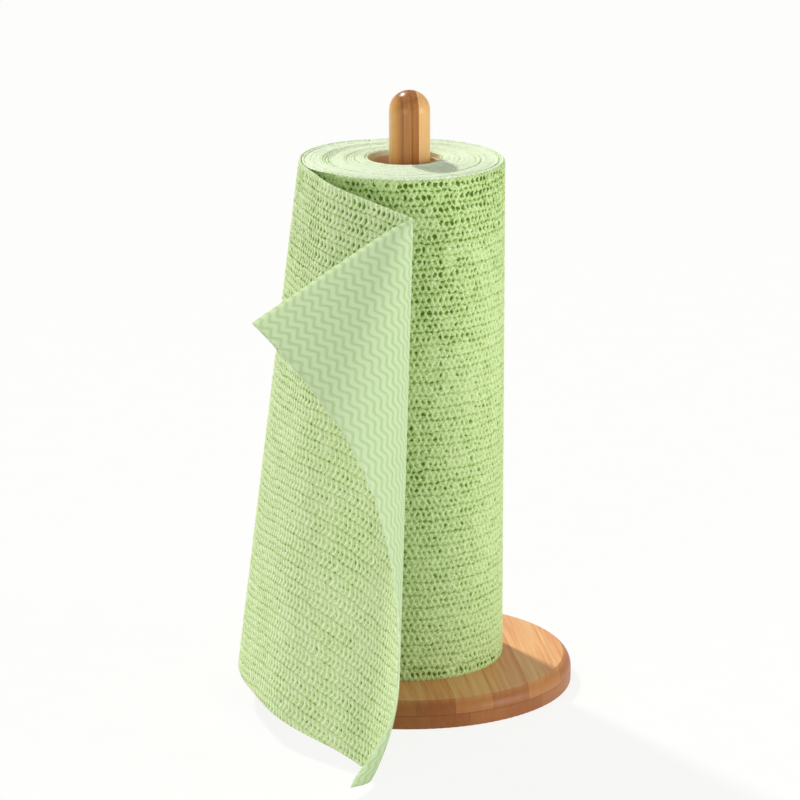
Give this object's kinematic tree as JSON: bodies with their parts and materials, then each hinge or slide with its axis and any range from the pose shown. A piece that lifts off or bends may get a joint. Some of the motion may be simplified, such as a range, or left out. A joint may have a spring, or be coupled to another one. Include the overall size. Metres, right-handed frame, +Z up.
{
  "type": "cleaning cloth roll",
  "caption": "Roll of reusable knitted cleaning cloth with a loose folded end, standing on a round bamboo holder with an upright post.",
  "frame": {"origin": "centre of the base's underside, on the post's axis", "axes": "+Z up along the post; -Y is the side the free corner of the sheet hangs on"},
  "size_m": [0.1843, 0.2874, 0.333],
  "materials": {
    "bamboo_base": "clear satin lacquer over laminated bamboo strips",
    "bamboo_post": "clear satin lacquer over a turned bamboo dowel",
    "screw_steel": "zinc plated",
    "kraft_core": "plain kraft board",
    "green_cloth": "knitted mesh face, smooth reverse with zigzag stripes"
  },
  "bodies": {
    "root": {"base": "bamboo_base", "post": "bamboo_post", "fixing_screw": "screw_steel", "core_tube": "kraft_core", "cloth_roll": "green_cloth"}
  },
  "joints": []
}
